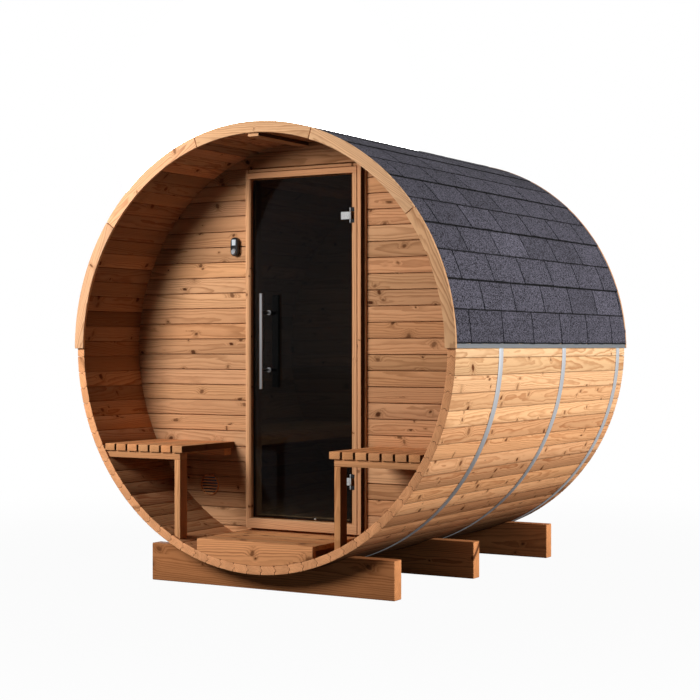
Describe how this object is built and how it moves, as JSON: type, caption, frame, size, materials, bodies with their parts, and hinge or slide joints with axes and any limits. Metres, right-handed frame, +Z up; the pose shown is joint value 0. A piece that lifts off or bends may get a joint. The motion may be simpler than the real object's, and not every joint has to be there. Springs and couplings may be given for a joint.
{
  "type": "barrel sauna",
  "caption": "Barrel sauna of wooden staves on three cradles, with hoops, a shingle roof over its upper half, a porch and a cabin with slatted benches, and a hinged glass door.",
  "frame": {"origin": "on the ground under the middle of the barrel", "axes": "+Z up, barrel along Y with its porch at -Y, +X to the right seen from the porch"},
  "size_m": [2.074, 2.0266, 2.154],
  "materials": {
    "stave_wood": "oiled softwood with knots",
    "hoop_steel": "rolled steel strap",
    "cradle_wood": "sawn softwood",
    "trim_wood": "planed softwood",
    "shingle": "bitumen felt with mineral granules",
    "drip_metal": "satin grey",
    "wall_wood": "planed softwood boards",
    "frame_wood": "planed softwood",
    "black_metal": "satin black",
    "tinted_glass": "dark tint",
    "satin_steel": "satin",
    "dark_wood": "dark stained",
    "bench_wood": "planed softwood",
    "step_wood": "planed softwood",
    "black_plastic": "satin"
  },
  "bodies": {
    "cabin": {"staves_bottom": "stave_wood", "staves_right": "stave_wood", "staves_top": "stave_wood", "staves_left": "stave_wood", "hoop_front": "hoop_steel", "hoop_middle": "hoop_steel", "hoop_rear": "hoop_steel", "cradle_front": "cradle_wood", "cradle_middle": "cradle_wood", "cradle_rear": "cradle_wood", "front_trim_arch": "trim_wood", "rear_trim_arch": "trim_wood", "roof_shingles_right": "shingle", "roof_shingles_left": "shingle", "roof_ridge": "shingle", "drip_edge_right": "drip_metal", "drip_edge_left": "drip_metal", "front_wall_left": "wall_wood", "front_wall_right": "wall_wood", "front_wall_above_door": "wall_wood", "front_wall_below_door": "wall_wood", "back_wall": "wall_wood", "door_jamb_left": "frame_wood", "door_jamb_right": "frame_wood", "door_header": "frame_wood", "door_sill": "frame_wood", "door_stops": "frame_wood", "door_hinge_plates": "black_metal", "bench_slats_left": "bench_wood", "bench_frame_left": "bench_wood", "bench_slats_right": "bench_wood", "bench_frame_right": "bench_wood", "cabin_bench_left": "bench_wood", "cabin_bench_right": "bench_wood", "step_boards": "step_wood", "step_front_board": "step_wood", "step_bearers": "step_wood", "porch_ceiling_batten": "trim_wood", "heater_control": "black_plastic", "wall_vent": "bench_wood"},
    "door": {"door_glass": "tinted_glass", "door_hinge_clamps": "satin_steel", "door_catch_stud": "satin_steel", "door_handle_outside": "satin_steel", "door_handle_inside": "dark_wood"}
  },
  "joints": [
    {"name": "door_hinge", "type": "hinge", "parent": "cabin", "child": "door", "pos_m": [0.277, -0.593, 1.116], "axis": [0, 0, 1], "range_deg": [0, 90]}
  ]
}
